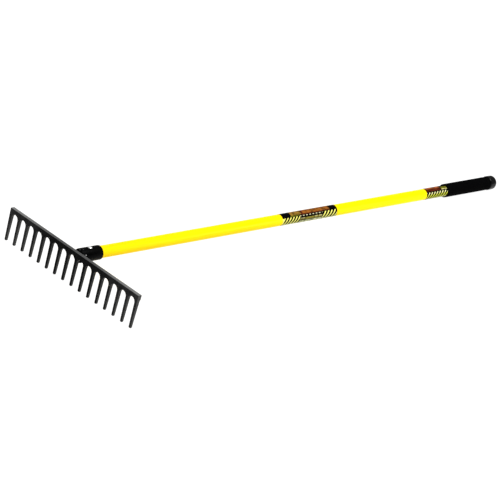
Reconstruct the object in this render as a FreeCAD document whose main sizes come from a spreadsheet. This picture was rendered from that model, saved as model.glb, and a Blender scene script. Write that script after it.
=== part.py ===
import FreeCAD, Part
import math
import os
import re
import Sketcher

# Level-head garden rake: a straight forged bar with a row of tines, a tang welded to the back of the
# bar, and a fibreglass handle that a riveted steel ferrule holds on the tang.
#
# Every piece is drawn in the handle's frame: +X runs along the handle's axis from the head to the
# butt, X = 0 is the front face of the bar, Z = 0 is the handle's axis and +Z is the top of the bar.
# The last section lays the whole rake on the floor, on its tine tips and on the butt of the handle.

doc = FreeCAD.newDocument("LevelHeadRake")
Vector = FreeCAD.Vector

# Sizes in millimetres.
SIZES = [
    ("overall_length", 1537, "front of the bar to the end of the butt cap"),
    ("tine_count", 16, "tines in the head"),
    ("tine_pitch", 28.15, "centre to centre of two tines"),
    ("bar_overhang", 4.3, "bar beyond the centre of an end tine"),
    ("bar_thickness", 10.5, "bar, front to back"),
    ("bar_height", 10.7, "bar above the top of an arch"),
    ("bar_above_axis", 16.2, "top of the bar above the handle's axis"),
    ("forging_round", 1.1, "rounding of every edge of the head"),
    ("tine_drop", 81.2, "top of the bar to the tine tips"),
    ("tine_root_width", 7.3, "tine width at the foot of the arch"),
    ("tine_tip_width", 6, "tine width at the tip"),
    ("tine_tip_depth", 6, "tine, front to back, at the tip"),
    ("tine_setback", 4.5, "centre of a tip behind the front of the bar"),
    ("tine_step", 1.8, "back of the bar behind the back of a tine"),
    ("tine_shoulder", 5, "height of the slope from the bar's back to the tine's back"),
    ("tip_round", 2.5, "rounding of the tips"),
    ("foot_half_width", 15, "tang foot, half width along the bar"),
    ("foot_thickness", 2, "tang foot, front to back"),
    ("weld_leg", 1.3, "weld on the bar, round the foot"),
    ("weld_crown", 0.4, "weld left at the back edge of the foot"),
    ("neck_length", 5, "neck of the tang, from its foot to the ferrule"),
    ("tang_dia", 12.6, "round shank of the tang"),
    ("tang_length", 100, "shank of the tang inside the ferrule and the plug"),
    ("tang_taper", 30, "length of the tang's taper"),
    ("tang_tip_dia", 7, "end of the tang"),
    ("ferrule_length", 64, "ferrule, nose to rim"),
    ("ferrule_nose", 7, "radius of the ferrule's rounded nose"),
    ("ferrule_wall", 2.2, "sheet of the ferrule"),
    ("seat_gap", 1, "front end of the tube behind the ferrule's nose"),
    ("slide_fit", 0.15, "clearance of a round fit, on the radius"),
    ("wrap_fit", 0.05, "clearance of a film or a sleeve on the tube, on the radius"),
    ("handle_dia", 28.5, "fibreglass tube, outside"),
    ("handle_wall", 3.2, "wall of the fibreglass tube"),
    ("plug_beyond", 30, "hardwood plug beyond the end of the tang"),
    ("rivet_setback", 33, "rivet from the nose of the ferrule"),
    ("rivet_dia", 5, "rivet shank"),
    ("rivet_head_dia", 10, "rivet head"),
    ("rivet_head_height", 2.2, "rivet head above the ferrule"),
    ("middle_wrap_start", 678.5, "large printed wrap from the front of the bar"),
    ("middle_wrap_length", 202, "large printed wrap along the handle"),
    ("upper_wrap_length", 87.5, "small printed wrap along the handle"),
    ("wrap_film", 0.2, "film of the printed wraps"),
    ("wrap_gap", 0.2, "small printed wrap from the grip"),
    ("grip_length", 184, "grip sleeve"),
    ("grip_wall", 3.4, "wall of the grip sleeve"),
    ("grip_neck_drop", 0.8, "grip drawn in beside the cap, on the radius"),
    ("grip_neck_length", 14, "length of the grip's neck"),
    ("grip_end_round", 1.4, "rounding of the grip's front end"),
    ("cap_gap", 0.3, "grip sleeve from the butt cap"),
    ("cap_length", 28, "butt cap behind the tube"),
    ("cap_lip", 0.9, "butt cap beyond the grip, on the radius"),
    ("cap_rear_round", 9, "rounding of the cap's end"),
    ("cap_front_round", 2.5, "rounding of the cap beside the grip"),
    ("spigot_length", 30, "spigot of the cap in the tube"),
]

sheet = doc.addObject("Spreadsheet::Sheet", "Sizes")
for row, (alias, number, meaning) in enumerate(SIZES, start=1):
    sheet.set("A%d" % row, meaning)
    sheet.set("B%d" % row, str(number))
    sheet.setAlias("B%d" % row, alias)
doc.recompute()

# Places and radii that several pieces share, worked out from the sheet.
TINE_TIP = "(bar_above_axis - tine_drop)"
TIP_ROUND = "min(tip_round; 0.45 * tine_tip_width; 0.45 * tine_tip_depth)"
TIP_CENTRE = "(%s + %s)" % (TINE_TIP, TIP_ROUND)
TIP_BACK = "(tine_setback + tine_tip_depth / 2)"
BAR_BOTTOM = "(bar_above_axis - bar_height)"
END_TINE = "((tine_count - 1) * tine_pitch / 2)"
BAR_END = "(%s + bar_overhang)" % END_TINE
FOOT_HEIGHT = "(bar_above_axis - bar_height / 2)"
FOOT_HALF = "(bar_height / 2 - forging_round - weld_leg)"
FOOT_BACK = "(bar_thickness + foot_thickness)"
FERRULE_START = "(%s + neck_length)" % FOOT_BACK
FERRULE_END = "(%s + ferrule_length)" % FERRULE_START
FERRULE_BORE = "(handle_dia / 2 + slide_fit)"
FERRULE_RADIUS = "(%s + ferrule_wall)" % FERRULE_BORE
NOSE_END = "(%s + ferrule_nose)" % FERRULE_START
NOSE_CENTRE = "(%s - ferrule_nose)" % FERRULE_RADIUS
TANG_RADIUS = "(tang_dia / 2)"
TANG_END = "(%s + tang_length)" % FERRULE_START
RIVET_PLACE = "(%s + rivet_setback)" % FERRULE_START
RIVET_HOLE = "(rivet_dia / 2 + slide_fit)"
HANDLE_START = "(%s + seat_gap)" % NOSE_END
HANDLE_RADIUS = "(handle_dia / 2)"
HANDLE_BORE = "(%s - handle_wall)" % HANDLE_RADIUS
WRAP_RADIUS = "(%s + wrap_fit)" % HANDLE_RADIUS
CAP_START = "(overall_length - cap_length)"
CAP_REAR = "(overall_length - cap_rear_round)"
GRIP_RADIUS = "(%s + grip_wall)" % WRAP_RADIUS
CAP_RADIUS = "(%s + cap_lip)" % GRIP_RADIUS
GRIP_END = "(%s - cap_gap)" % CAP_START
GRIP_START = "(%s - grip_length)" % GRIP_END
CCW = 1
CW = -1


def bound(text):
    """The text with each name of the sheet written as Sizes.name, as setExpression wants it."""
    return re.sub(r"\b[a-z_]+\b(?!\()", r"Sizes.\g<0>", text)


def value(text):
    return float(sheet.evalExpression(bound(text)))


def origin_feature(body, role):
    return next(feature for feature in body.Origin.OriginFeatures if feature.Role == role)


def new_body(label):
    body = doc.addObject("PartDesign::Body", label)
    body.Label = label
    return body


def new_sketch(body, name, role):
    """An empty sketch on one of the body's own origin planes."""
    sketch = body.newObject("Sketcher::SketchObject", name)
    sketch.AttachmentSupport = [(origin_feature(body, role), "")]
    sketch.MapMode = "FlatFace"
    return sketch


def pin(sketch, geometry, point, across, up):
    """Ties a point of the sketch to a place given by two expressions; None leaves one free."""
    for kind, text in (("DistanceX", across), ("DistanceY", up)):
        if text is not None:
            constraint = Sketcher.Constraint(kind, -1, 1, geometry, point, value(text))
            number = sketch.addConstraint(constraint)
            sketch.setExpression("Constraints[%d]" % number, bound(text))


def draw_outline(sketch, corners, arcs=None):
    """A closed outline through corners, each a pair of expressions.

    arcs gives, by the number of the corner an arc starts at, its centre and its turn.
    """
    arcs = arcs or {}
    places = [Vector(value(across), value(up), 0) for across, up in corners]
    ends = []
    for number, place in enumerate(places):
        following = places[(number + 1) % len(places)]
        if number not in arcs:
            sketch.addGeometry(Part.LineSegment(place, following), False)
            ends.append((1, 2))
            continue
        across, up, turn = arcs[number]
        centre = Vector(value(across), value(up), 0)
        circle = Part.Circle(centre, Vector(0, 0, 1), (place - centre).Length)
        first, last = (place, following) if turn == CCW else (following, place)
        arc = Part.ArcOfCircle(circle, circle.parameter(first), circle.parameter(last))
        sketch.addGeometry(arc, False)
        ends.append((1, 2) if turn == CCW else (2, 1))
    for number, (start, end) in enumerate(ends):
        after = (number + 1) % len(ends)
        sketch.addConstraint(Sketcher.Constraint("Coincident", number, end, after, ends[after][0]))
    for number, (across, up) in enumerate(corners):
        pin(sketch, number, ends[number][0], across, up)
    for number, (across, up, turn) in arcs.items():
        pin(sketch, number, 3, None, up)


def draw_circle(sketch, across, up, radius):
    centre = Vector(value(across), value(up), 0)
    circle = sketch.addGeometry(Part.Circle(centre, Vector(0, 0, 1), value(radius)), False)
    pin(sketch, circle, 3, across, up)
    number = sketch.addConstraint(Sketcher.Constraint("Radius", circle, value(radius)))
    sketch.setExpression("Constraints[%d]" % number, bound(radius))


def revolved(label, corners, arcs=None, axis="X_Axis"):
    """A body turned about one of its axes from an outline drawn in the XZ plane."""
    body = new_body(label)
    sketch = new_sketch(body, label + "_outline", "XZ_Plane")
    draw_outline(sketch, corners, arcs)
    turned = body.newObject("PartDesign::Revolution", label + "_turned")
    turned.Profile = sketch
    turned.ReferenceAxis = (origin_feature(body, axis), [""])
    turned.Angle = 360
    sketch.Visibility = False
    doc.recompute()
    return body


def cut_through(body, sketch):
    """A pocket through the whole body, to both sides of the sketch's plane."""
    before = body.Shape.Volume
    pocket = body.newObject("PartDesign::Pocket", sketch.Name + "_cut")
    pocket.Profile = sketch
    pocket.Type = "ThroughAll"
    pocket.Midplane = True
    sketch.Visibility = False
    doc.recompute()
    if not body.Shape.Volume < before:
        raise RuntimeError("%s cuts nothing" % pocket.Name)
    return pocket


def drill_for_rivet(body):
    """The rivet's hole, upright through the handle's axis."""
    sketch = new_sketch(body, body.Name + "_rivet_hole", "XY_Plane")
    draw_circle(sketch, RIVET_PLACE, "0", RIVET_HOLE)
    cut_through(body, sketch)


def ring(name, half_width, half_height, along, height):
    """An ellipse across the handle, its width along the bar."""
    ellipse = doc.addObject("Part::Ellipse", name)
    ellipse.Placement.Rotation = FreeCAD.Rotation(Vector(0, 1, 0), Vector(0, 0, 1), Vector(1, 0, 0))
    ellipse.setExpression("MajorRadius", bound(half_width))
    ellipse.setExpression("MinorRadius", bound(half_height))
    ellipse.setExpression("Placement.Base.x", bound(along))
    ellipse.setExpression("Placement.Base.z", bound(height))
    return ellipse


def loft(name, first, last):
    blend = doc.addObject("Part::Loft", name)
    blend.Sections = [first, last]
    blend.Solid = True
    return blend


def round_bar(kind, name, start, length, radii):
    """A cylinder or a cone on the handle's axis; radii gives each of its radii."""
    piece = doc.addObject(kind, name)
    piece.Placement.Rotation = FreeCAD.Rotation(Vector(0, 1, 0), 90)
    piece.setExpression("Placement.Base.x", bound(start))
    piece.setExpression("Height", bound(length))
    for name_of_radius, radius in radii.items():
        piece.setExpression(name_of_radius, bound(radius))
    return piece


def foot_block(name):
    """The oval foot of the tang, from the back of the bar."""
    block = doc.addObject("Part::Extrusion", name)
    block.Base = ring(name + "_outline", "foot_half_width", FOOT_HALF, "bar_thickness", FOOT_HEIGHT)
    block.DirMode = "Custom"
    block.Dir = Vector(1, 0, 0)
    block.Solid = True
    block.setExpression("LengthFwd", bound("foot_thickness"))
    return block


def cut_away(label, base, tool):
    result = doc.addObject("Part::Cut", label)
    result.Label = label
    result.Base = base
    result.Tool = tool
    return result


def head_plate(body):
    """The head from its side, as one plate along the whole bar."""
    front = "(tine_setback - tine_tip_depth / 2)"
    front_centre = "(%s + %s)" % (front, TIP_ROUND)
    back_centre = "(%s - %s)" % (TIP_BACK, TIP_ROUND)
    corners = [
        ("0", "bar_above_axis"),
        ("0", BAR_BOTTOM),
        (front, TIP_CENTRE),
        (front_centre, TINE_TIP),
        (back_centre, TINE_TIP),
        (TIP_BACK, TIP_CENTRE),
        ("bar_thickness - tine_step", BAR_BOTTOM + " - tine_shoulder"),
        ("bar_thickness", BAR_BOTTOM),
        ("bar_thickness", "bar_above_axis"),
    ]
    arcs = {2: (front_centre, TIP_CENTRE, CCW), 4: (back_centre, TIP_CENTRE, CCW)}
    side = new_sketch(body, "head_side", "XZ_Plane")
    draw_outline(side, corners, arcs)
    plate = body.newObject("PartDesign::Pad", "head_plate")
    plate.Profile = side
    plate.Midplane = True
    plate.setExpression("Length", bound("2 * " + BAR_END))
    side.Visibility = False
    doc.recompute()


def tine_gaps(body):
    """The arched gaps between the tines, with the sides of the tips rounded."""
    middle = "(%s - tine_pitch / 2)" % END_TINE
    half_root = "((tine_pitch - tine_root_width) / 2)"
    half_mouth = "((tine_pitch - tine_tip_width) / 2)"
    arch_foot = "(%s - %s)" % (BAR_BOTTOM, half_root)
    below = "(%s - tip_round)" % TINE_TIP
    left_round = "(%s - %s - %s)" % (middle, half_mouth, TIP_ROUND)
    right_round = "(%s + %s + %s)" % (middle, half_mouth, TIP_ROUND)
    corners = [
        ("%s - %s" % (middle, half_root), arch_foot),
        ("%s + %s" % (middle, half_root), arch_foot),
        ("%s + %s" % (middle, half_mouth), TIP_CENTRE),
        (right_round, TINE_TIP),
        (right_round, below),
        (left_round, below),
        (left_round, TINE_TIP),
        ("%s - %s" % (middle, half_mouth), TIP_CENTRE),
    ]
    arcs = {
        0: (middle, arch_foot, CW),
        2: (right_round, TIP_CENTRE, CCW),
        6: (left_round, TIP_CENTRE, CCW),
    }
    gap = new_sketch(body, "tine_gap", "YZ_Plane")
    draw_outline(gap, corners, arcs)
    first_gap = cut_through(body, gap)

    gaps = body.newObject("PartDesign::LinearPattern", "tine_gaps")
    gaps.Originals = [first_gap]
    gaps.Direction = (origin_feature(body, "Y_Axis"), [""])
    gaps.Reversed = True
    gaps.setExpression("Length", bound("(tine_count - 2) * tine_pitch"))
    gaps.setExpression("Occurrences", bound("tine_count - 1"))
    body.Tip = gaps
    doc.recompute()


def head_ends(body):
    """The ends of the bar, cut down to the outer sides of the end tines."""
    tip_side = "(%s + tine_tip_width / 2)" % END_TINE
    tip_round_centre = "(%s - %s)" % (tip_side, TIP_ROUND)
    beyond = "(%s + tip_round)" % BAR_END
    below = "(%s - tip_round)" % TINE_TIP
    corners = [
        (BAR_END, "bar_above_axis"),
        (tip_side, TIP_CENTRE),
        (tip_round_centre, TINE_TIP),
        (tip_round_centre, below),
        (beyond, below),
        (beyond, "bar_above_axis"),
    ]
    end = new_sketch(body, "head_end", "YZ_Plane")
    draw_outline(end, corners, {1: (tip_round_centre, TIP_CENTRE, CW)})
    end_cut = cut_through(body, end)

    other_end = body.newObject("PartDesign::Mirrored", "other_head_end")
    other_end.Originals = [end_cut]
    other_end.MirrorPlane = (origin_feature(body, "XZ_Plane"), [""])
    body.Tip = other_end
    doc.recompute()


def make_head():
    """The head, one forging with a bar and its tines."""
    body = new_body("rake_head")
    head_plate(body)
    tine_gaps(body)
    head_ends(body)
    unrounded = body.Tip
    rounding = body.newObject("PartDesign::Fillet", "head_rounding")
    rounding.Base = (unrounded, [""])
    rounding.UseAllEdges = True
    rounding.setExpression("Radius", bound("forging_round"))
    doc.recompute()
    return body


def make_tang():
    """The tang: an oval foot on the back of the bar, drawn down to a round shank on the axis."""
    foot_back = ring("foot_back", "foot_half_width", FOOT_HALF, FOOT_BACK, FOOT_HEIGHT)
    shank_start = ring("shank_start", TANG_RADIUS, TANG_RADIUS, FERRULE_START, "0")
    shank_length = "tang_length - tang_taper"
    point_start = "%s - tang_taper" % TANG_END
    point_radii = {"Radius1": TANG_RADIUS, "Radius2": "tang_tip_dia / 2"}
    solid = doc.addObject("Part::MultiFuse", "tang_solid")
    solid.Shapes = [
        foot_block("tang_foot"),
        loft("tang_neck", foot_back, shank_start),
        round_bar("Part::Cylinder", "tang_shank", FERRULE_START, shank_length, {"Radius": TANG_RADIUS}),
        round_bar("Part::Cone", "tang_point", point_start, "tang_taper", point_radii),
    ]
    hole = doc.addObject("Part::Cylinder", "tang_rivet_hole")
    hole.setExpression("Radius", bound(RIVET_HOLE))
    hole.setExpression("Height", bound("2 * tang_dia"))
    hole.setExpression("Placement.Base.x", bound(RIVET_PLACE))
    hole.setExpression("Placement.Base.z", bound("-tang_dia"))
    return cut_away("tang", solid, hole)


def make_weld():
    """The weld, a fillet all round the tang's foot."""
    toe_sizes = ["foot_half_width + weld_leg", FOOT_HALF + " + weld_leg"]
    crown_sizes = ["foot_half_width + weld_crown", FOOT_HALF + " + weld_crown"]
    toe = ring("weld_toe", *toe_sizes, "bar_thickness", FOOT_HEIGHT)
    crown = ring("weld_crown", *crown_sizes, FOOT_BACK, FOOT_HEIGHT)
    return cut_away("weld_bead", loft("weld_solid", toe, crown), foot_block("weld_void"))


def make_ferrule():
    """The ferrule, a drawn cup with a rounded nose, pierced for the tang and the rivet."""
    inner_nose = "(%s + ferrule_wall)" % FERRULE_START
    corners = [
        (FERRULE_START, "0"),
        (FERRULE_START, NOSE_CENTRE),
        (NOSE_END, FERRULE_RADIUS),
        (FERRULE_END, FERRULE_RADIUS),
        (FERRULE_END, FERRULE_BORE),
        (NOSE_END, FERRULE_BORE),
        (inner_nose, NOSE_CENTRE),
        (inner_nose, "0"),
    ]
    arcs = {1: (NOSE_END, NOSE_CENTRE, CW), 5: (NOSE_END, NOSE_CENTRE, CCW)}
    body = revolved("ferrule", corners, arcs)
    nose = new_sketch(body, "nose_hole", "YZ_Plane")
    draw_circle(nose, "0", "0", TANG_RADIUS + " + slide_fit")
    cut_through(body, nose)
    drill_for_rivet(body)
    return body


def make_handle():
    """The handle, a straight fibreglass tube."""
    corners = [
        (HANDLE_START, HANDLE_BORE),
        (HANDLE_START, HANDLE_RADIUS),
        (CAP_START, HANDLE_RADIUS),
        (CAP_START, HANDLE_BORE),
    ]
    body = revolved("handle_tube", corners)
    drill_for_rivet(body)
    return body


def make_plug():
    """The hardwood plug that fills the tube round the tang."""
    outside = HANDLE_BORE + " - slide_fit"
    plug_end = TANG_END + " + plug_beyond"
    tang_stop = "(%s + slide_fit)" % TANG_END
    corners = [
        (HANDLE_START, TANG_RADIUS + " + slide_fit"),
        (HANDLE_START, outside),
        (plug_end, outside),
        (plug_end, "0"),
        (tang_stop, "0"),
        (tang_stop, "tang_tip_dia / 2 + slide_fit"),
        (TANG_END + " - tang_taper", TANG_RADIUS + " + slide_fit"),
    ]
    body = revolved("tang_plug", corners)
    drill_for_rivet(body)
    return body


def make_rivet():
    """The rivet, a shank on the body's own Z axis with a domed head at each end."""
    head_top = "(%s + rivet_head_height)" % FERRULE_RADIUS
    head_radius = "(rivet_head_dia / 2)"
    dome = "((%s ^ 2 + rivet_head_height ^ 2) / (2 * rivet_head_height))" % head_radius
    dome_centre = "(%s - %s)" % (head_top, dome)
    corners = [
        ("0", head_top),
        (head_radius, FERRULE_RADIUS),
        ("rivet_dia / 2", FERRULE_RADIUS),
        ("rivet_dia / 2", "-" + FERRULE_RADIUS),
        (head_radius, "-" + FERRULE_RADIUS),
        ("0", "-" + head_top),
    ]
    arcs = {0: ("0", dome_centre, CW), 4: ("0", "-" + dome_centre, CW)}
    return revolved("ferrule_rivet", corners, arcs, axis="Z_Axis")


def make_wrap(label, start, length):
    """A printed film round the tube."""
    outside = WRAP_RADIUS + " + wrap_film"
    end = "%s + %s" % (start, length)
    return revolved(label, [(start, WRAP_RADIUS), (start, outside), (end, outside), (end, WRAP_RADIUS)])


def make_grip():
    """The grip, a soft sleeve drawn in a little beside the butt cap."""
    round_end = GRIP_START + " + grip_end_round"
    round_height = GRIP_RADIUS + " - grip_end_round"
    corners = [
        (GRIP_START, WRAP_RADIUS),
        (GRIP_START, round_height),
        (round_end, GRIP_RADIUS),
        (GRIP_END + " - grip_neck_length", GRIP_RADIUS),
        (GRIP_END, GRIP_RADIUS + " - grip_neck_drop"),
        (GRIP_END, WRAP_RADIUS),
    ]
    return revolved("grip_sleeve", corners, {1: (round_end, round_height, CW)})


def make_cap():
    """The butt cap, a rounded knob whose spigot is pushed into the tube."""
    spigot_radius = HANDLE_BORE + " - slide_fit"
    spigot_start = CAP_START + " - spigot_length"
    front = CAP_START + " + cap_front_round"
    front_height = CAP_RADIUS + " - cap_front_round"
    rear_height = CAP_RADIUS + " - cap_rear_round"
    corners = [
        (spigot_start, "0"),
        (spigot_start, spigot_radius),
        (CAP_START, spigot_radius),
        (CAP_START, front_height),
        (front, CAP_RADIUS),
        (CAP_REAR, CAP_RADIUS),
        ("overall_length", rear_height),
        ("overall_length", "0"),
    ]
    return revolved("butt_cap", corners, {3: (front, front_height, CW), 5: (CAP_REAR, rear_height, CW)})


def floor_placement():
    """The placement that rests the tine tips and the butt cap on the floor, Z = 0.

    The floor touches two circles, the back rounding of the tips and the end rounding of the cap, so
    the tilt is that of their common tangent.
    """
    tip_x = value("%s - %s" % (TIP_BACK, TIP_ROUND))
    tip_z = value(TIP_CENTRE)
    run = value(CAP_REAR) - tip_x
    rise = value("cap_rear_round - " + CAP_RADIUS) - tip_z
    difference = value("cap_rear_round - " + TIP_ROUND)
    tilt = math.atan2(rise, run) - math.asin(difference / math.hypot(run, rise))
    half_length = value("overall_length / 2") * math.cos(tilt)
    lift = tip_x * math.sin(tilt) - tip_z * math.cos(tilt) + value(TIP_ROUND)
    turn = FreeCAD.Rotation(Vector(0, 1, 0), math.degrees(tilt))
    return FreeCAD.Placement(Vector(-half_length, 0, lift), turn)


rivet = make_rivet()
pieces = [
    make_head(),
    make_tang(),
    make_weld(),
    make_ferrule(),
    make_handle(),
    make_plug(),
    rivet,
    make_wrap("middle_wrap", "middle_wrap_start", "middle_wrap_length"),
    make_wrap("upper_wrap", "(%s - wrap_gap - upper_wrap_length)" % GRIP_START, "upper_wrap_length"),
    make_grip(),
    make_cap(),
]

on_floor = floor_placement()
for piece in pieces:
    piece.Placement = on_floor
rivet.Placement = on_floor * FreeCAD.Placement(Vector(value(RIVET_PLACE), 0, 0), FreeCAD.Rotation())
doc.recompute()

for item in doc.Objects:
    if {"Invalid", "Error"} & set(item.State):
        raise RuntimeError("%s failed: %s" % (item.Name, item.State))
for piece in pieces:
    if piece.Shape.isNull() or not piece.Shape.isValid():
        raise RuntimeError("%s has no valid shape" % piece.Label)

os.makedirs("parts", exist_ok=True)
for piece in pieces:
    piece.Shape.exportStep("parts/%s.step" % piece.Label)
    box = piece.Shape.optimalBoundingBox()
    spans = (box.XMin, box.XMax, box.YMin, box.YMax, box.ZMin, box.ZMax)
    print("%-14s %9.0f mm3 " % (piece.Label, piece.Shape.Volume), " ".join("%8.2f" % end for end in spans))
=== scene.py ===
import bmesh
import bpy
import math
from mathutils import Matrix, Vector, noise


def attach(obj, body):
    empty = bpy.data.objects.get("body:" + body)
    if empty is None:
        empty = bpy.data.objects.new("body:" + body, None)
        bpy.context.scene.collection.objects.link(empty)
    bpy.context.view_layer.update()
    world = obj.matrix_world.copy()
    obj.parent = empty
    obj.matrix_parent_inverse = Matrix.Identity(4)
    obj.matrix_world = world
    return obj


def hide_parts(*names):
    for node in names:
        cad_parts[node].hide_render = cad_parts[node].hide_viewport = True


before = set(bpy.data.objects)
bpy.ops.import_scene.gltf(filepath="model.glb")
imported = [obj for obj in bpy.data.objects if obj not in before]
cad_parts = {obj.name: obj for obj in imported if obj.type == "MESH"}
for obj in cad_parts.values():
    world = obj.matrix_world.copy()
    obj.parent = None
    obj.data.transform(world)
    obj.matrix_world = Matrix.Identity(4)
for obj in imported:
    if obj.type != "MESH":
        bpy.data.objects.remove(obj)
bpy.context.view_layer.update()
print("frame loaded:", len(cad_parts), "nodes")

# The rake lies on its tine tips and its butt cap. New pieces are drawn in millimetres along the
# handle, from the front of the bar, and then laid on the floor in metres.
lie = {
    "front": (-0.7681436, 0.0, 0.0651233),
    "tilt": math.radians(1.7449307),  # down towards the butt
}
onFloor = Matrix.Translation(lie["front"]) @ Matrix.Rotation(lie["tilt"], 4, "Y")
fromMillimetres = onFloor @ Matrix.Scale(0.001, 4)

cameraSetup = {
    "place": (-4.02388, -3.05823, 2.21869),
    "aim": (-0.27703, -0.08614, 0.04),
    "roll": math.radians(14.7892),
    "lens": 162.742, "sensor": 36.0,  # mm
    "shift": (0.0008, 0.0),  # shares of the frame
    "clip": (0.1, 200.0),
}


def makeCamera(setup):
    data = bpy.data.cameras.new("photoCamera")
    data.sensor_width = setup["sensor"]
    data.lens = setup["lens"]
    data.shift_x, data.shift_y = setup["shift"]
    data.clip_start, data.clip_end = setup["clip"]
    camera = bpy.data.objects.new("photoCamera", data)
    bpy.context.scene.collection.objects.link(camera)
    place = Vector(setup["place"])
    turn = (Vector(setup["aim"]) - place).to_track_quat("-Z", "Y").to_matrix().to_4x4()
    camera.matrix_world = Matrix.Translation(place) @ turn @ Matrix.Rotation(setup["roll"], 4, "Z")
    bpy.context.scene.camera = camera


makeCamera(cameraSetup)
print("camera placed")


# Mesh helpers.

meshing = {
    "fewestSegments": 3, "mostSegments": 10, "segmentsEach": 2,  # of a rounding, and for each mm of it
    "mergeWithin": 0.001, "cutWithin": 0.0001, "onAxis": 0.01,  # mm
    "sharpFrom": math.radians(35),
}


def turnedShape(outline, steps, isRing=True):
    # outline: (along, radius, rounding) in mm; a ring's outline closes on itself
    bm = bmesh.new()
    corners = [bm.verts.new((along, 0, radius)) for along, radius, _ in outline]
    chain = corners + corners[:1] if isRing else corners
    for pair in zip(chain, chain[1:]):
        bm.edges.new(pair)
    for corner, (_, _, rounding) in zip(corners, outline):
        if rounding:
            segments = min(meshing["mostSegments"], round(rounding * meshing["segmentsEach"]))
            bmesh.ops.bevel(bm, geom=[corner], offset=rounding, offset_type="OFFSET",
                            segments=max(meshing["fewestSegments"], segments), profile=0.5,
                            affect="VERTICES", material=-1, clamp_overlap=True)
    bmesh.ops.spin(bm, geom=bm.verts[:] + bm.edges[:], cent=(0, 0, 0), axis=(1, 0, 0),
                   angle=2 * math.pi, steps=steps, use_merge=True, use_duplicate=False)
    bmesh.ops.remove_doubles(bm, verts=bm.verts, dist=meshing["mergeWithin"])
    bmesh.ops.recalc_face_normals(bm, faces=bm.faces)
    return bm


def cutAlong(bm, start, end, count):
    # rings of cuts across the handle, for shaping and shading
    for cut in range(count + 1):
        place = start + (end - start) * cut / count
        bmesh.ops.bisect_plane(bm, geom=bm.verts[:] + bm.edges[:] + bm.faces[:],
                               dist=meshing["cutWithin"], plane_co=(place, 0, 0), plane_no=(1, 0, 0))


def shortWay(turn):
    # the same turn, within half a turn either way
    return (turn + math.pi) % (2 * math.pi) - math.pi


def ringUv(bm):
    # U is metres along the handle, V is turns round it: 0 at +Y, a quarter at the top
    layer = bm.loops.layers.uv.new("alongAndRound")
    for face in bm.faces:
        middle = face.calc_center_median()
        facing = math.atan2(middle.z, middle.y)
        for loop in face.loops:
            co = loop.vert.co
            turn = math.atan2(co.z, co.y) - facing if co.yz.length > meshing["onAxis"] else 0.0
            loop[layer].uv = (co.x / 1000, (facing + shortWay(turn)) / (2 * math.pi))


def finishPiece(bm, name, material, node):
    ringUv(bm)
    for face in bm.faces:
        face.smooth = True
    for edge in bm.edges:
        edge.smooth = edge.calc_face_angle(0.0) < meshing["sharpFrom"]
    bmesh.ops.transform(bm, matrix=fromMillimetres, verts=bm.verts)
    mesh = bpy.data.meshes.new(name)
    bm.to_mesh(mesh)
    bm.free()
    mesh.materials.append(material)
    piece = bpy.data.objects.new(name, mesh)
    bpy.context.scene.collection.objects.link(piece)
    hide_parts(node)
    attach(piece, "root")
    print("made", name, len(mesh.polygons), "faces")
    return piece


# Material helpers.

noiseMiddle = (0.30, 0.70)  # a noise seldom leaves this range


def newMaterial(name, **sockets):
    material = bpy.data.materials.new(name)
    material.use_nodes = True
    shader = material.node_tree.nodes["Principled BSDF"]
    for socket, value in sockets.items():
        shader.inputs[socket.replace("_", " ")].default_value = value
    return material, material.node_tree, shader


def addNode(tree, kind, inputs=None, output=0, **settings):
    node = tree.nodes.new("ShaderNode" + kind)
    for setting, value in settings.items():
        setattr(node, setting, value)
    for socket, value in (inputs or {}).items():
        if isinstance(value, bpy.types.NodeSocket):
            tree.links.new(value, node.inputs[socket])
        else:
            node.inputs[socket].default_value = value
    return node.outputs[output]


def maths(tree, operation, first, second=0.0, third=0.0):
    return addNode(tree, "Math", {0: first, 1: second, 2: third}, operation=operation)


def axes(tree, vector):
    # the X, Y and Z of a vector
    split = tree.nodes.new("ShaderNodeSeparateXYZ")
    tree.links.new(vector, split.inputs[0])
    return split.outputs


def ramp(tree, value, low, high, toLow=0.0, toHigh=1.0):
    # value from low..high to toLow..toHigh, eased and clamped
    return addNode(tree, "MapRange", {0: value, 1: low, 2: high, 3: toLow, 4: toHigh},
                   interpolation_type="SMOOTHSTEP")


def spread(tree, value, toLow, toHigh):
    # a noise spread over the whole of toLow..toHigh
    return ramp(tree, value, *noiseMiddle, toLow, toHigh)


def between(tree, value, low, high, soft):
    rise = ramp(tree, value, low - soft, low + soft)
    fall = ramp(tree, value, high - soft, high + soft, 1.0, 0.0)
    return maths(tree, "MULTIPLY", rise, fall)


def mixColour(tree, share, first, second):
    first, second = [c if isinstance(c, bpy.types.NodeSocket) else (*c, 1.0) for c in (first, second)]
    return addNode(tree, "Mix", {0: share, 6: first, 7: second}, output=2, data_type="RGBA")


def roomPlace(tree):
    # Object coordinates, in metres
    return addNode(tree, "TexCoord", output=3)


def handlePlace(tree, stretch=(1.0, 1.0, 1.0)):
    # Object coordinates turned to the handle: X along it from the front of the bar
    turned = addNode(tree, "Mapping", {0: roomPlace(tree), 1: lie["front"], 2: (0.0, lie["tilt"], 0.0)},
                     vector_type="TEXTURE")
    return addNode(tree, "VectorMath", {0: turned, 1: stretch}, operation="MULTIPLY")


def cloud(tree, place, scale, detail=3.0, roughness=0.5):
    return addNode(tree, "TexNoise", {"Vector": place, "Scale": scale, "Detail": detail,
                                      "Roughness": roughness})


def streaks(tree, stretch, detail, roughness=0.5):
    # a noise drawn out along the handle
    return cloud(tree, handlePlace(tree, stretch), 1.0, detail, roughness)


def cells(tree, place, scale, output=0):
    # output 0 is the distance to the cell's middle, and 1 a chance colour for each cell
    return addNode(tree, "TexVoronoi", {"Vector": place, "Scale": scale}, output=output)


def bumpBy(tree, height, depth, before=None):
    inputs = {"Height": height, "Distance": depth, "Strength": 1.0}
    if before is not None:
        inputs["Normal"] = before
    return addNode(tree, "Bump", inputs)


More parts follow.
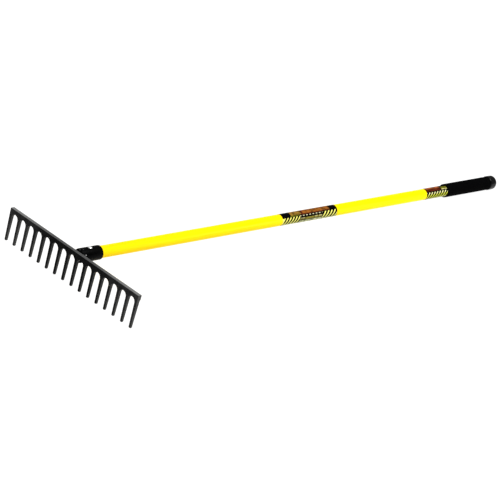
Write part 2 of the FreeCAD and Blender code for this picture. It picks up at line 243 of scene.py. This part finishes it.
def wire(tree, shader, **sockets):
    for socket, value in sockets.items():
        tree.links.new(value, shader.inputs[socket.replace("_", " ")])


# Black paint on steel: the head, the tang with its weld, and the ferrule, each with its own finish.
# Here and below, a noise is its scale, detail and roughness, and a bump is its depth in metres.

paintTexture = {
    "patches": (60.0, 5.0, 0.65), "grain": (900.0, 3.0, 0.6), "waves": (70.0, 1.0),
    "shade": (0.35, 0.66), "pitScale": 330.0, "pitSize": 0.42,
    "fleckFade": 1.5, "glintEdge": (0.7, 1.1),  # shares of the radius of a chip and of a painted highlight
    "fleckPick": 0.02,
}
forgedLook = {
    "dark": (0.0006, 0.0006, 0.0007), "pale": (0.0045, 0.0045, 0.0046),
    "roughness": (0.42, 0.56), "specular": 0.028,
    "waves": 0.00035, "grain": 0.00010, "pits": 0.00008,
    "fleckAndGlintColour": (0.045, 0.045, 0.044), "fleckScale": 150.0, "fleckSize": 0.10, "fleckShare": 0.30,
    "paintedGlints": [],
    # painted light: the paint is painted paler towards the ends of the bar, and on faces that look
    # sideways or up, standing in for the sheen and the brighter light there
    "paintedLight": {
        "from": 0.05, "to": 0.20,  # metres from the middle of the bar
        "facing": (0.55, 0.90),  # how squarely a face looks sideways or up
        "uneven": (0.75, 1.0),
        "dark": (0.0120, 0.0120, 0.0120), "pale": (0.0310, 0.0310, 0.0308),
        "sides": (0.048, 0.048, 0.047), "endSides": (0.075, 0.075, 0.074),
        "top": (0.055, 0.055, 0.054), "endTop": (0.150, 0.150, 0.148),
    },
}
ferruleLook = {
    "dark": (0.0005, 0.0005, 0.0006), "pale": (0.0014, 0.0014, 0.0016),
    "roughness": (0.36, 0.46), "specular": 0.018,
    "waves": 0.00003, "grain": 0.000012, "pits": 0.0,
    "fleckAndGlintColour": (0.40, 0.40, 0.39), "fleckScale": 120.0, "fleckSize": 0.085, "fleckShare": 0.22,
    # painted highlights: paler spots where the light glints on the ferrule's rounded nose; place on the
    # handle in mm, radius, how pale
    "paintedGlints": [
        ((28.5, -14.66, 7.79), 1.5, 1.0),
        ((20.5, 0.0, 15.34), 1.7, 0.16),
        ((28.5, -2.31, 16.44), 1.5, 0.13),
    ],
    "paintedLight": None,
}
tangLook = {
    "dark": (0.0012, 0.0012, 0.0013), "pale": (0.0045, 0.0045, 0.0047),
    "roughness": (0.38, 0.50), "specular": 0.06,
    "waves": 0.00015, "grain": 0.00005, "pits": 0.00003,
    "fleckAndGlintColour": (0.045, 0.045, 0.044), "fleckScale": 150.0, "fleckSize": 0.10, "fleckShare": 0.20,
    "paintedGlints": [],
    "paintedLight": None,
}


def chipsAndGlints(tree, place, look):
    # one small round chip in some of the cells, and the painted highlights on the ferrule's nose
    edges = look["fleckSize"], look["fleckSize"] * paintTexture["fleckFade"]
    chip = ramp(tree, cells(tree, place, look["fleckScale"]), *edges, 1.0, 0.0)
    chance = cells(tree, place, look["fleckScale"], output=1)
    limit, soft = 1.0 - look["fleckShare"], paintTexture["fleckPick"]
    bareAndGlint = maths(tree, "MULTIPLY", chip, ramp(tree, chance, limit - soft, limit + soft))
    # painted highlights: paler spots at given places on the ferrule's nose, where the light glints
    for centre, radius, share in look["paintedGlints"]:
        middle = [value / 1000 for value in centre]
        away = addNode(tree, "VectorMath", {0: handlePlace(tree), 1: middle}, output=1,
                       operation="DISTANCE")
        edges = [radius / 1000 * edge for edge in paintTexture["glintEdge"]]
        bareAndGlint = maths(tree, "MAXIMUM", bareAndGlint, ramp(tree, away, *edges, share, 0.0))
    return bareAndGlint


def paintLightByFacing(tree, place, patches, shade, colour, paintedLight):
    # painted light: paler colour on faces that look sideways or up and towards the ends of the bar, a
    # painted sheen and painted brighter light
    normal = axes(tree, addNode(tree, "NewGeometry", output=1))
    uneven = spread(tree, patches, *paintedLight["uneven"])
    sideways = ramp(tree, maths(tree, "ABSOLUTE", normal[1]), *paintedLight["facing"])
    upwards = ramp(tree, normal[2], *paintedLight["facing"])
    towardsEnd = ramp(tree, maths(tree, "ABSOLUTE", axes(tree, place)[1]), paintedLight["from"], paintedLight["to"])
    fronts = mixColour(tree, shade, paintedLight["dark"], paintedLight["pale"])
    sides = mixColour(tree, towardsEnd, paintedLight["sides"], paintedLight["endSides"])
    top = mixColour(tree, towardsEnd, paintedLight["top"], paintedLight["endTop"])
    colour = mixColour(tree, towardsEnd, colour, fronts)
    colour = mixColour(tree, maths(tree, "MULTIPLY", sideways, uneven), colour, sides)
    return mixColour(tree, maths(tree, "MULTIPLY", upwards, uneven), colour, top)


def paintedSteel(name, look):
    material, tree, shader = newMaterial(name, Specular_IOR_Level=look["specular"])
    place = roomPlace(tree)
    patches = cloud(tree, place, *paintTexture["patches"])
    shade = ramp(tree, patches, *paintTexture["shade"])
    colour = mixColour(tree, shade, look["dark"], look["pale"])
    # painted light on the head: painted sheen on its faces and painted brighter light at its ends
    if look["paintedLight"]:
        colour = paintLightByFacing(tree, place, patches, shade, colour, look["paintedLight"])
    relief = bumpBy(tree, cloud(tree, place, *paintTexture["waves"]), look["waves"])
    relief = bumpBy(tree, cloud(tree, place, *paintTexture["grain"]), look["grain"], relief)
    if look["pits"]:
        pits = ramp(tree, cells(tree, place, paintTexture["pitScale"]), 0.0, paintTexture["pitSize"])
        relief = bumpBy(tree, pits, look["pits"], relief)
    wire(tree, shader,
         Base_Color=mixColour(tree, chipsAndGlints(tree, place, look), colour, look["fleckAndGlintColour"]),
         Roughness=spread(tree, patches, *look["roughness"]),
         Normal=relief)
    return material


headPaint = paintedSteel("blackForgedPaint", forgedLook)
tangPaint = paintedSteel("blackTangPaint", tangLook)
ferrulePaint = paintedSteel("blackFerrulePaint", ferruleLook)
print("paints made")


# The ferrule, a drawn cup with a rounded nose and a thin rolled rim.

ferrule = {
    "nose": 17.5, "rim": 81.5, "radius": 16.6, "bore": 14.4, "wall": 2.2,
    "noseHole": 6.45, "noseRound": 7.0, "rimRound": 0.9, "edgeRound": 0.3, "steps": 96,
}


def makeFerrule(size):
    inside = size["nose"] + size["wall"]
    bm = turnedShape([
        (size["nose"], size["noseHole"], size["edgeRound"]),
        (size["nose"], size["radius"], size["noseRound"]),
        (size["rim"], size["radius"], size["rimRound"]),
        (size["rim"], size["bore"], size["edgeRound"]),
        (inside, size["bore"], size["noseRound"] - size["wall"]),
        (inside, size["noseHole"], size["edgeRound"]),
    ], size["steps"])
    finishPiece(bm, "drawnFerrule", ferrulePaint, "ferrule")


makeFerrule(ferrule)


# The fibreglass tube.

tube = {
    "start": 25.5, "end": 1509.0, "radius": 14.25, "bore": 11.05,
    "endRound": 0.5, "boreRound": 0.3, "steps": 96, "cuts": 24, "cutFrom": 20,
}
resinLook = {
    "deep": (0.90, 0.60, 0.0003), "bright": (0.94, 0.66, 0.0008), "shade": (0.36, 0.64),
    "roughness": (0.34, 0.46), "specular": 0.05, "tint": (1.0, 0.80, 0.10, 1.0),
    # each noise: its stretch, detail and roughness
    "strands": ((7.0, 420.0, 420.0), 4.0, 0.6), "threads": ((30.0, 1700.0, 1700.0), 2.0),
    "flow": ((9.0, 40.0, 40.0), 2.0), "strandShare": 0.6, "flowShare": 0.4,
    "strandDepth": 0.00004, "threadDepth": 0.00003,
}


def yellowResin(look):
    material, tree, shader = newMaterial("yellowFibreglass", Specular_IOR_Level=look["specular"],
                                         Specular_Tint=look["tint"])
    strands = streaks(tree, *look["strands"])
    threads = streaks(tree, *look["threads"])
    flow = streaks(tree, *look["flow"])
    shade = maths(tree, "ADD", maths(tree, "MULTIPLY", strands, look["strandShare"]),
                  maths(tree, "MULTIPLY", flow, look["flowShare"]))
    relief = bumpBy(tree, strands, look["strandDepth"])
    wire(tree, shader,
         Base_Color=mixColour(tree, ramp(tree, shade, *look["shade"]), look["deep"], look["bright"]),
         Roughness=spread(tree, flow, *look["roughness"]),
         Normal=bumpBy(tree, threads, look["threadDepth"], relief))
    return material


def makeTube(size):
    bm = turnedShape([
        (size["start"], size["bore"], size["boreRound"]),
        (size["start"], size["radius"], size["endRound"]),
        (size["end"], size["radius"], size["endRound"]),
        (size["end"], size["bore"], size["boreRound"]),
    ], size["steps"])
    cutAlong(bm, size["start"] + size["cutFrom"], size["end"] - size["cutFrom"], size["cuts"])
    finishPiece(bm, "fibreglassTube", yellowResin(resinLook), "handle_tube")


makeTube(tube)


# The two printed wraps. Their art is set out along the handle in millimetres and across it by
# half turns: 0 just beyond the top, 1 underneath, and then the same again on the far side.

inks = {
    "black": (0.0006, 0.0005, 0.0005), "yellow": (0.93, 0.90, 0.19), "lime": (0.74, 0.78, 0.06),
    "ivory": (0.93, 0.92, 0.42), "cream": (0.42, 0.44, 0.22), "sand": (0.50, 0.46, 0.19),
    "pale": (0.60, 0.58, 0.36), "ochre": (0.22, 0.185, 0.025), "olive": (0.12, 0.12, 0.006),
    "gold": (0.23, 0.125, 0.016), "orange": (0.20, 0.066, 0.009), "amber": (0.26, 0.070, 0.018),
    "red": (0.075, 0.011, 0.0035), "worn": (0.10, 0.095, 0.085),
}
art = {
    "turn": 0.70, "beyondTop": 0.03,  # half turns: where the art starts, and how far beyond the top
    "mottle": (105.0, 3.0, 0.6), "mottled": (0.45, 1.45),  # uneven ink in the coloured panels
    "dash": (0.20, 0.28),  # where a dash starts to fade and where it ends, in periods from its middle
    "lean": 33.0, "leanFrom": 0.62,  # mm in a half turn, and the height where the stripes are placed
    "stripeSoft": 0.04,
    # how soft the edges are, in mm along and in half turns across
    "panelEdge": (0.5, 0.012), "dashEdge": (0.4, 0.008), "stripeEdge": (0.4, 0.012),
}
film = {
    "inner": 14.3, "outer": 14.5, "steps": 120, "cuts": 24, "cutFrom": 1,
    "lapAt": 5.5, "lapWidth": 0.42,  # radians
    "lapOver": 14.4, "lapRise": 0.12,
}
filmLook = {
    "specular": 0.015, "roughness": (0.28, 0.42), "roughnessScale": 60.0,
    "marks": (260.0, 5.0, 0.7), "marked": (0.66, 0.78, 0.0, 0.25),  # from handling
    "waves": ((30.0, 90.0, 90.0), 2.0), "waveDepth": 0.00012,
    "grain": (1400.0, 2.0), "grainDepth": 0.000015,
}
middleWrap = {
    "name": "middleWrap", "node": "middle_wrap", "start": 678.5, "length": 202.0,
    "panels": [
        # left, right, top, bottom, ink; a later panel lies over an earlier one
        (710.0, 748.0, -0.04, 0.40, "gold"),
        (708.0, 740.0, 0.40, 0.48, "olive"),
        (678.0, 683.0, 0.50, 0.84, "yellow"),
        (749.0, 756.0, 0.06, 0.43, "red"),
        (755.0, 853.0, 0.38, 0.43, "red"),
        (755.0, 853.0, -0.04, 0.385, "orange"),
        (742.0, 822.0, 0.605, 0.725, "ochre"),
        (743.0, 758.0, 0.60, 0.66, "sand"),
        (795.0, 806.0, 0.60, 0.65, "sand"),
        (812.0, 823.0, 0.60, 0.66, "sand"),
        (742.0, 824.0, 0.755, 0.97, "cream"),
        (679.0, 742.0, 0.84, 0.97, "cream"),
        (824.0, 879.0, 0.82, 0.97, "cream"),
    ],
    # left, right, top, bottom, period
    "dashes": [(742.0, 824.0, 0.467, 0.510, 11.8)],
    # left, right, top, bottom, middle of one stripe, period, share of it, ink
    "stripes": [
        (678.0, 741.0, 0.49, 0.84, 704.8, 10.9, 0.38, "yellow"),
        (826.0, 879.0, 0.46, 0.82, 831.6, 12.07, 0.38, "yellow"),
    ],
}
upperWrap = {
    "name": "upperWrap", "node": "upper_wrap", "start": 1237.0, "length": 87.5,
    "panels": [
        (1240.0, 1299.0, -0.04, 0.26, "amber"),
        (1240.0, 1298.0, 0.26, 0.42, "red"),
        (1301.0, 1324.0, 0.22, 0.42, "olive"),
        (1301.0, 1323.0, 0.36, 0.415, "sand"),
        (1240.0, 1324.0, 0.84, 0.97, "cream"),
    ],
    "dashes": [],
    "stripes": [
        (1239.0, 1324.0, 0.60, 0.86, 1256.3, 11.07, 0.38, "lime"),
        (1239.0, 1324.0, 0.48, 0.60, 1256.3, 11.07, 0.34, "ivory"),
    ],
}


def printedArea(tree, along, fromTop, edges, soft):
    left, right, top, bottom = edges
    return maths(tree, "MULTIPLY", between(tree, along, left, right, soft[0]),
                 between(tree, fromTop, top, bottom, soft[1]))


def printedArt(tree, wrap):
    uv = axes(tree, addNode(tree, "TexCoord", output=2))
    along = maths(tree, "MULTIPLY", uv[0], 1000.0)  # mm
    across = maths(tree, "FRACT", maths(tree, "MULTIPLY_ADD", uv[1], 2.0, art["turn"]))
    fromTop = maths(tree, "FRACT", maths(tree, "ADD", across, art["beyondTop"]))
    fromTop = maths(tree, "SUBTRACT", fromTop, art["beyondTop"])

    colour = inks["black"]
    for *edges, ink in wrap["panels"]:
        area = printedArea(tree, along, fromTop, edges, art["panelEdge"])
        colour = mixColour(tree, area, colour, inks[ink])
    uneven = spread(tree, cloud(tree, roomPlace(tree), *art["mottle"]), *art["mottled"])
    uneven = addNode(tree, "CombineXYZ", {0: uneven, 1: uneven, 2: uneven})
    colour = addNode(tree, "VectorMath", {0: colour, 1: uneven}, operation="MULTIPLY")

    for *edges, period in wrap["dashes"]:
        turns = maths(tree, "DIVIDE", along, period)
        dash = ramp(tree, maths(tree, "PINGPONG", turns, 0.5), *art["dash"], 1.0, 0.0)
        area = printedArea(tree, along, fromTop, edges, art["dashEdge"])
        colour = mixColour(tree, maths(tree, "MULTIPLY", area, dash), colour, inks["pale"])

    for *edges, first, period, share, ink in wrap["stripes"]:
        leaning = maths(tree, "MULTIPLY_ADD", fromTop, art["lean"], along)
        fromFirst = maths(tree, "SUBTRACT", leaning, first + art["lean"] * art["leanFrom"])
        turns = maths(tree, "PINGPONG", maths(tree, "DIVIDE", fromFirst, period), 0.5)
        bar = ramp(tree, turns, share / 2 - art["stripeSoft"], share / 2 + art["stripeSoft"], 1.0, 0.0)
        area = printedArea(tree, along, fromTop, edges, art["stripeEdge"])
        colour = mixColour(tree, maths(tree, "MULTIPLY", area, bar), colour, inks[ink])
    return colour


def printedFilm(wrap, look):
    material, tree, shader = newMaterial(wrap["name"] + "Print", Specular_IOR_Level=look["specular"])
    place = roomPlace(tree)
    marks = ramp(tree, cloud(tree, place, *look["marks"]), *look["marked"])
    relief = bumpBy(tree, streaks(tree, *look["waves"]), look["waveDepth"])
    wire(tree, shader,
         Base_Color=mixColour(tree, marks, printedArt(tree, wrap), inks["worn"]),
         Roughness=spread(tree, cloud(tree, place, look["roughnessScale"]), *look["roughness"]),
         Normal=bumpBy(tree, cloud(tree, place, *look["grain"]), look["grainDepth"], relief))
    return material


def makeWrap(wrap):
    start, end = wrap["start"], wrap["start"] + wrap["length"]
    bm = turnedShape([
        (start, film["inner"], 0), (start, film["outer"], 0),
        (end, film["outer"], 0), (end, film["inner"], 0),
    ], film["steps"])
    cutAlong(bm, start + film["cutFrom"], end - film["cutFrom"], film["cuts"])
    for vert in bm.verts:  # the lap of the film, a low step on the hidden side
        turn = shortWay(math.atan2(vert.co.z, vert.co.y) - film["lapAt"])
        if vert.co.yz.length > film["lapOver"] and 0 <= turn < film["lapWidth"]:
            rise = film["lapRise"] * (1 - turn / film["lapWidth"])
            vert.co.yz = vert.co.yz * (1 + rise / film["outer"])
    finishPiece(bm, wrap["name"], printedFilm(wrap, filmLook), wrap["node"])


makeWrap(middleWrap)
makeWrap(upperWrap)


# The foam grip and the knob at its end.

grip = {
    "start": 1324.7, "end": 1508.95, "bore": 14.3, "radius": 17.7,
    "neckStart": 1494.7, "neckRadius": 16.9,
    "mouthRound": 0.4, "frontRound": 1.5, "neckRound": 2.0, "endRound": 0.5, "boreRound": 0.3,
    "steps": 96, "cuts": 90, "cutFrom": 2,
    # slight dents in the outer skin, from two noises
    "unevenness": 0.10, "dents": 0.09, "fineDents": 0.31, "fineShare": 0.5, "sink": 0.9, "skin": 1.5,
}
foamLook = {
    "dark": (0.0001, 0.0001, 0.0002), "pale": (0.0024, 0.0024, 0.0026),
    "roughness": (0.80, 0.95), "specular": 0.015,
    "poreScale": 520.0, "poreSize": (0.05, 0.5), "bloom": (55.0, 4.0), "skinNoise": (300.0, 3.0),
    "poreDepth": 0.00022, "skinDepth": 0.0001,
}


def blackFoam(look):
    material, tree, shader = newMaterial("blackCushionFoam", Specular_IOR_Level=look["specular"])
    place = roomPlace(tree)
    pores = ramp(tree, cells(tree, place, look["poreScale"]), *look["poreSize"])
    bloom = cloud(tree, place, *look["bloom"])
    relief = bumpBy(tree, cloud(tree, place, *look["skinNoise"]), look["skinDepth"])
    wire(tree, shader,
         Base_Color=mixColour(tree, maths(tree, "MULTIPLY", pores, bloom), look["dark"], look["pale"]),
         Roughness=spread(tree, bloom, *look["roughness"]),
         Normal=bumpBy(tree, pores, look["poreDepth"], relief))
    return material


def makeGrip(size):
    bm = turnedShape([
        (size["start"], size["bore"], size["mouthRound"]),
        (size["start"], size["radius"], size["frontRound"]),
        (size["neckStart"], size["radius"], size["neckRound"]),
        (size["end"], size["neckRadius"], size["endRound"]),
        (size["end"], size["bore"], size["boreRound"]),
    ], size["steps"])
    cutAlong(bm, size["start"] + size["cutFrom"], size["end"] - size["cutFrom"], size["cuts"])
    for vert in bm.verts:
        if vert.co.yz.length > size["radius"] - size["skin"]:
            fine = noise.noise(vert.co * size["fineDents"])
            push = noise.noise(vert.co * size["dents"]) + size["fineShare"] * fine
            vert.co.yz = vert.co.yz * (1 + size["unevenness"] * (push - size["sink"]) / size["radius"])
    piece = finishPiece(bm, "foamGrip", blackFoam(foamLook), "grip_sleeve")


knob = {
    "spigot": 1479.0, "spigotRadius": 10.9, "front": 1509.0, "end": 1537.0, "radius": 18.6,
    "spigotRound": 1.0, "frontRound": 2.5, "endRound": 9.0, "steps": 96,
}
knobLook = {
    "dark": (0.0008, 0.0008, 0.0009), "pale": (0.0018, 0.0018, 0.002),
    "roughness": (0.20, 0.28), "specular": 0.18,
    "flow": (90.0, 3.0), "sink": (60.0, 1.0), "sinkDepth": 0.0001,
    "grainScale": 1500.0, "grainDepth": 0.00002,
}


def blackPlastic(look):
    material, tree, shader = newMaterial("blackMouldedPlastic", Specular_IOR_Level=look["specular"])
    place = roomPlace(tree)
    flow = cloud(tree, place, *look["flow"])
    relief = bumpBy(tree, cloud(tree, place, *look["sink"]), look["sinkDepth"])
    wire(tree, shader,
         Base_Color=mixColour(tree, flow, look["dark"], look["pale"]),
         Roughness=spread(tree, flow, *look["roughness"]),
         Normal=bumpBy(tree, cells(tree, place, look["grainScale"]), look["grainDepth"], relief))
    return material


def makeKnob(size):
    bm = turnedShape([
        (size["spigot"], 0.0, 0),
        (size["spigot"], size["spigotRadius"], size["spigotRound"]),
        (size["front"], size["spigotRadius"], 0),
        (size["front"], size["radius"], size["frontRound"]),
        (size["end"], size["radius"], size["endRound"]),
        (size["end"], 0.0, 0),
    ], size["steps"], isRing=False)
    finishPiece(bm, "buttKnob", blackPlastic(knobLook), "butt_cap")


makeGrip(grip)
makeKnob(knob)


# The weld round the tang's foot: overlapping ripples along an oval.

weld = {
    "along": 10.6, "height": 10.85, "halfWidth": 15.3, "halfHeight": 3.22,
    "ripples": 84, "ripple": (1.0, 0.75, 0.95), "roundness": 2,
    "evening": 0.46,  # keeps the ripples even along the flat oval
    "lumps": 0.12, "lumpScale": 3.0,
}


def makeWeld(size):
    bm = bmesh.new()
    for count in range(size["ripples"]):
        turn = 2 * math.pi * count / size["ripples"]
        turn += size["evening"] * math.sin(2 * turn)
        place = Vector((size["along"], size["halfWidth"] * math.cos(turn),
                        size["height"] + size["halfHeight"] * math.sin(turn)))
        lump = 1.0 + size["lumps"] * noise.noise(place * size["lumpScale"])
        shape = Matrix.Translation(place) @ Matrix.Diagonal((*[r * lump for r in size["ripple"]], 1.0))
        bmesh.ops.create_icosphere(bm, subdivisions=size["roundness"], radius=1.0, matrix=shape)
    finishPiece(bm, "weldRipples", tangPaint, "weld_bead")


makeWeld(weld)


# CAD nodes that stay, with their own finishes.

rivetLook = {
    "dark": (0.72, 0.72, 0.71), "pale": (0.84, 0.84, 0.83), "roughness": (0.28, 0.42), "metallic": 0.45,
    "blur": (500.0, 3.0), "dents": (260.0, 2.0), "dentDepth": 0.00008,
}
plugLook = {
    "dark": (0.50, 0.33, 0.16), "pale": (0.64, 0.46, 0.27), "roughness": (0.55, 0.75), "specular": 0.3,
    "ringStretch": (6.0, 260.0, 260.0), "distortion": 4.0, "detail": 3.0,
    "pores": ((40.0, 1400.0, 1400.0), 3.0), "poreDepth": 0.00008,
}


def brightSteel(look):
    material, tree, shader = newMaterial("brightRivetSteel", Metallic=look["metallic"])
    place = roomPlace(tree)
    blur = cloud(tree, place, *look["blur"])
    wire(tree, shader,
         Base_Color=mixColour(tree, blur, look["dark"], look["pale"]),
         Roughness=spread(tree, blur, *look["roughness"]),
         Normal=bumpBy(tree, cloud(tree, place, *look["dents"]), look["dentDepth"]))
    return material


def plainHardwood(look):
    material, tree, shader = newMaterial("plainHardwood", Specular_IOR_Level=look["specular"])
    rings = addNode(tree, "TexWave", {"Vector": handlePlace(tree, look["ringStretch"]), "Scale": 1.0,
                                      "Distortion": look["distortion"], "Detail": look["detail"]},
                    bands_direction="Z")
    pores = streaks(tree, *look["pores"])
    wire(tree, shader,
         Base_Color=mixColour(tree, rings, look["dark"], look["pale"]),
         Roughness=spread(tree, pores, *look["roughness"]),
         Normal=bumpBy(tree, pores, look["poreDepth"]))
    return material


def dress(node, material):
    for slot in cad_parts[node].material_slots:
        slot.material = material


dress("rake_head", headPaint)
dress("tang", tangPaint)
dress("ferrule_rivet", brightSteel(rivetLook))
dress("tang_plug", plainHardwood(plugLook))
print("CAD nodes finished")


# The floor and the light.

studio = {
    "floor": (0.85, 0.85, 0.85), "floorRoughness": 0.9, "floorSpecular": 0.1,
    "floorRadius": 40.0, "floorSides": 64, "floorDrop": 0.0003,  # metres
    "skyStrength": 0.26, "floorWash": 3.5,  # the wash lights the floor alone and throws no shadow
    "lights": [
        # name, place, aim, width, height, watts, what it lights
        ("besideButt", (0.95, -1.05, 0.35), (0.45, 0.0, 0.03), 0.8, 0.3, 12.0, "tube"),
        ("farSide", (0.0, 2.2, 0.8), (0.0, 0.0, 0.03), 2.6, 0.6, 30.0, "tube"),
        ("overhead", (0.5, -1.0, 3.2), (0.3, 0.0, 0.0), 3.0, 2.0, 165.0, "rake"),
        ("behindHead", (1.3, 1.9, 1.5), (-0.7, 0.0, 0.05), 0.9, 0.7, 20.0, "head"),
    ],
}


def makeFloor(setup):
    bm = bmesh.new()
    bmesh.ops.create_circle(bm, cap_ends=True, segments=setup["floorSides"],
                            radius=setup["floorRadius"])
    bmesh.ops.translate(bm, verts=bm.verts, vec=(0, 0, -setup["floorDrop"]))
    mesh = bpy.data.meshes.new("studioFloor")
    bm.to_mesh(mesh)
    bm.free()
    floor = bpy.data.objects.new("studioFloor", mesh)
    bpy.context.scene.collection.objects.link(floor)
    material, _, _ = newMaterial("paleFloor", Base_Color=(*setup["floor"], 1.0),
                                 Roughness=setup["floorRoughness"],
                                 Specular_IOR_Level=setup["floorSpecular"])
    mesh.materials.append(material)
    return floor


def lightOnly(lamp, piece, state="INCLUDE"):
    lit = bpy.data.collections.new(lamp.name + "Lit")
    lit.objects.link(piece)
    lit.collection_objects[0].light_linking.link_state = state
    lamp.light_linking.receiver_collection = lit


def addLamp(data, name):
    lamp = bpy.data.objects.new(name, data)
    bpy.context.scene.collection.objects.link(lamp)
    return lamp


def makeLights(setup, floor):
    world = bpy.data.worlds.new("studioWorld")
    bpy.context.scene.world = world
    world.use_nodes = True
    sky = world.node_tree.nodes["Background"]
    sky.inputs["Color"].default_value = (1.0, 1.0, 1.0, 1.0)
    sky.inputs["Strength"].default_value = setup["skyStrength"]
    for name, place, aim, width, height, watts, what in setup["lights"]:
        data = bpy.data.lights.new(name, "AREA")
        data.shape = "RECTANGLE"
        data.size, data.size_y = width, height
        data.energy = watts
        lamp = addLamp(data, name)
        lamp.location = place
        lamp.rotation_euler = (Vector(aim) - Vector(place)).to_track_quat("-Z", "Y").to_euler()
        if what == "head":
            lightOnly(lamp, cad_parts["rake_head"])
        elif what == "tube":
            lightOnly(lamp, bpy.data.objects["fibreglassTube"])
        else:
            lightOnly(lamp, floor, "EXCLUDE")
    data = bpy.data.lights.new("floorWash", "SUN")
    data.energy = setup["floorWash"]
    data.use_shadow = False
    lightOnly(addLamp(data, "floorWash"), floor)


makeLights(studio, makeFloor(studio))
bpy.context.scene.view_settings.view_transform = "Standard"
print("studio lit")
